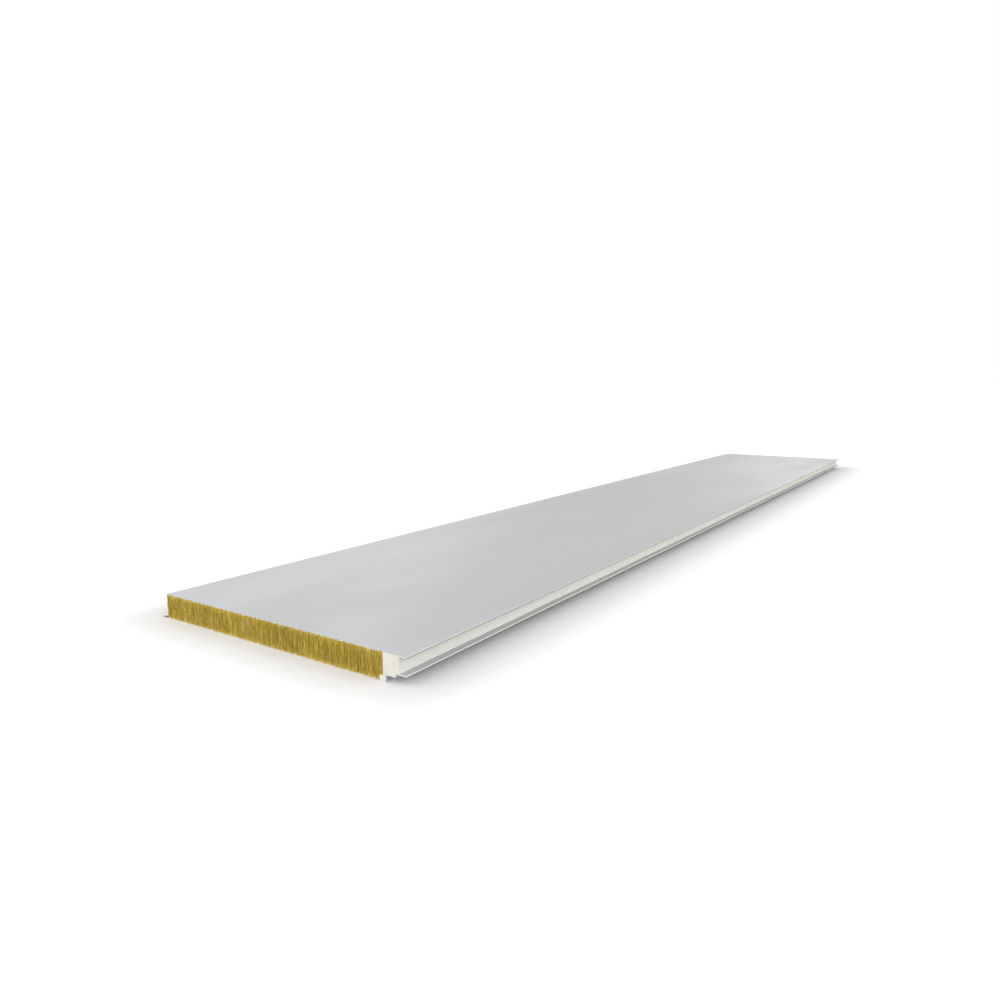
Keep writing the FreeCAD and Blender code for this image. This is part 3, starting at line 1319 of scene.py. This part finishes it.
@dataclass
class Panel:
    """The whole panel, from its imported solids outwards.

    Attributes:
        rows: How many rows of wool there are.
        seed: The start of the random numbers.
        strands: How many loose strands lie on each open face.
    """

    rows: int = 8
    seed: int = 41
    strands: tuple = (
        (OpenFace.NEAR_END, 8200),
        (OpenFace.FAR_END, 8200),
        (OpenFace.LEFT_SIDE, 10500),
    )

    def core(self) -> tuple:
        """Find the wool core.

        Returns:
            Its lowest and its highest corner.
        """
        boxes = [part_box(f"wool_row_{n + 1}") for n in range(self.rows)]
        low = np.min([np.array(box[0]) for box in boxes], axis=0)
        high = np.max([np.array(box[1]) for box in boxes], axis=0)
        return low, high

    def build(self) -> None:
        """Dress the steel and the foam, and lay the wool, its strands and the glue."""
        low, high = self.core()
        tip = float(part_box("top_facing")[1][0])
        dress_node("top_facing", CoatedSteel(tip).material())
        dress_node("bottom_facing", InnerSteel(tip).material())
        dress_node("foam_edge", HardFoam(seam=float(high[0])).material())
        wool = UprightWool().material()
        glue = CuredGlue().material()
        rng = np.random.default_rng(self.seed)
        for n in range(self.rows):
            WoolRow(n + 1, open_side=n == 0).build(wool, rng)
        for which, count in self.strands:
            face = CoreFace(which, low, high)
            LooseFibres(face, count).build(wool, rng)
            GlueLines(face).build(glue, rng)


@dataclass
class Studio:
    """Plain pale floor, soft light and the camera.

    Attributes:
        eye: The camera's place, in metres.
        tilt, heading: The camera's turn from straight down and about the upright, in degrees.
        lens: Focal length in mm on a 36 mm sensor.
        ambient: Strength of the surrounding light.
        reach, level: Half the floor's side, and its height.
        contact: How near to the floor a face has to lie to see through it.
        grey, pale: The floor's colour for the light it throws back, and as it is seen.
        halo: How the floor's glow rises from the panel's outline, which leaves painted shade on the
            floor round the panel: two distances, two strengths.
        distant: How it rises away from the panel's middle, in the same order.
        lamps: Name, place, target, size and power of each soft lamp.
    """

    eye: tuple = (1.70142, -4.33703, 0.75161)
    tilt: float = 90.0 - 8.824
    heading: float = 33.793
    lens: float = 26.676
    ambient: float = 0.52
    reach: float = 90.0
    level: float = -0.4 * MM
    contact: float = 2.0 * MM
    grey: tuple = (0.5, 0.5, 0.5, 1.0)
    pale: tuple = (0.86, 0.86, 0.86, 1.0)
    halo: tuple = (0.0, 0.3, 0.02, 0.25)
    distant: tuple = (2.0, 8.5, 0.0, 0.42)
    lamps: tuple = (
        ("front_lamp", (-2.4, -8.2, 3.4), (0.0, -2.6, 0.0), (14.0, 6.4), 420.0),
        ("right_lamp", (7.4, -1.2, 3.3), (0.4, -0.3, 0.0), (15.0, 6.0), 345.0),
        ("back_lamp", (2.4, 8.2, 4.0), (0.0, 2.6, 0.0), (11.0, 4.0), 150.0),
        ("left_lamp", (-7.4, 1.2, 4.0), (-0.4, 0.3, 0.0), (13.0, 4.0), 140.0),
    )

    def seen(self, graph: Graph) -> Socket:
        """Find the rays that see the backdrop: from the camera, off gloss and through glass.

        Args:
            graph: The graph of the floor's material or the world.

        Returns:
            1 for such rays and 0 for others.
        """
        rays = graph.node("ShaderNodeLightPath").outputs
        sight = graph.math("MAXIMUM", rays["Is Camera Ray"], rays["Is Glossy Ray"])
        return graph.math("MAXIMUM", sight, rays["Is Transmission Ray"])

    def glow(self, graph: Graph) -> Socket:
        """Work out how far the floor's own light lifts it to white.

        Formula: the halo round the panel's outline plus the slow rise away from its middle.

        Args:
            graph: The graph of the floor's material.

        Returns:
            The strength of the light.
        """
        place = graph.node("ShaderNodeTexCoord").outputs["Object"]
        corner = tuple(float(side) for side in CAD_BOX[1])
        beside = graph.vector("SUBTRACT", graph.vector("ABSOLUTE", place), corner)
        gap = graph.vector("LENGTH", graph.vector("MAXIMUM", beside))
        # Painted shade: the glow is held back near the panel's outline, so the floor round the
        # panel is darker even where it is lit.
        near = graph.spread(gap, *self.halo)
        away = graph.spread(graph.vector("LENGTH", place), *self.distant)
        return graph.math("ADD", near, away)

    def floor_material(self) -> Material:
        """Build a white floor that keeps the panel's shadow and is clear from below.

        Rays that meet the floor within the contact distance pass through it, so that the underside
        is lit in a view from below.

        Returns:
            The material.
        """
        material = bpy.data.materials.new("white_floor")
        material.use_nodes = True
        graph = Graph(material.node_tree)
        output = next(node for node in graph.tree.nodes if node.type == "OUTPUT_MATERIAL")
        plain = graph.node("ShaderNodeBsdfDiffuse", {"Color": self.grey})
        matte = graph.node("ShaderNodeBsdfDiffuse", {"Color": self.pale})
        light = graph.node("ShaderNodeEmission", {"Color": WHITE, "Strength": self.glow(graph)})
        bright = graph.node("ShaderNodeAddShader", {0: matte.outputs[0], 1: light.outputs[0]})
        feeds = {0: self.seen(graph), 1: plain.outputs[0], 2: bright.outputs[0]}
        top = graph.node("ShaderNodeMixShader", feeds)
        clear = graph.node("ShaderNodeBsdfTransparent")
        back = graph.node("ShaderNodeNewGeometry").outputs["Backfacing"]
        way = graph.node("ShaderNodeLightPath").outputs["Ray Length"]
        gone = graph.math("MAXIMUM", back, graph.math("LESS_THAN", way, self.contact))
        both = graph.node("ShaderNodeMixShader", {0: gone, 1: top.outputs[0], 2: clear.outputs[0]})
        graph.feed(output.inputs["Surface"], both.outputs[0])
        return material

    def lay_floor(self) -> None:
        """Lay the floor under the panel."""
        reach = self.reach
        sides = ((-reach, -reach), (reach, -reach), (reach, reach), (-reach, reach))
        mesh = bpy.data.meshes.new("floor")
        mesh.from_pydata([(*side, self.level) for side in sides], [], [(0, 1, 2, 3)])
        mesh.materials.append(self.floor_material())
        floor = bpy.data.objects.new("floor", mesh)
        bpy.context.scene.collection.objects.link(floor)

    def light_world(self) -> None:
        """Surround the panel with soft light and a white backdrop."""
        world = bpy.data.worlds.new("backdrop")
        world.use_nodes = True
        bpy.context.scene.world = world
        graph = Graph(world.node_tree)
        sky = next(node for node in graph.tree.nodes if node.type == "BACKGROUND")
        sky.inputs["Color"].default_value = WHITE
        strength = graph.weighted(self.ambient, (self.seen(graph), 1.0 - self.ambient))
        graph.feed(sky.inputs["Strength"], strength)

    def hang_lamp(self, name: str, place: tuple, target: tuple, size: tuple, power: float) -> None:
        """Hang one rectangular soft lamp.

        Args:
            name: The lamp's name.
            place: Its centre, in metres.
            target: The point it faces.
            size: Width and height, in metres.
            power: Its power in watts.
        """
        lamp = bpy.data.lights.new(name, "AREA")
        lamp.shape = "RECTANGLE"
        lamp.size, lamp.size_y = size
        lamp.energy = power
        held = bpy.data.objects.new(name, lamp)
        bpy.context.scene.collection.objects.link(held)
        aim = np.array(target) - np.array(place)
        held.location = place
        turn = math.atan2(aim[0], -aim[1])
        drop = math.atan2(math.hypot(aim[0], aim[1]), -aim[2])
        held.rotation_euler = (drop, 0.0, turn + math.pi)

    def place_camera(self) -> None:
        """Place the camera at the photograph's viewing angle."""
        lens = bpy.data.cameras.new("camera")
        lens.lens = self.lens
        lens.sensor_width = 36.0
        lens.clip_end = 400.0
        camera = bpy.data.objects.new("camera", lens)
        bpy.context.scene.collection.objects.link(camera)
        camera.location = self.eye
        camera.rotation_euler = (math.radians(self.tilt), 0.0, math.radians(self.heading))
        bpy.context.scene.camera = camera

    def build(self) -> None:
        """Set up the floor, the light and the camera."""
        bpy.context.scene.view_settings.view_transform = "Standard"
        self.lay_floor()
        self.light_world()
        for lamp in self.lamps:
            self.hang_lamp(*lamp)
        self.place_camera()


def main() -> None:
    """Build the panel and its stage."""
    logging.basicConfig(level=logging.INFO, format="%(message)s")
    Panel().build()
    Studio().build()
    bpy.context.view_layer.update()


if __name__ == "__main__":
    main()
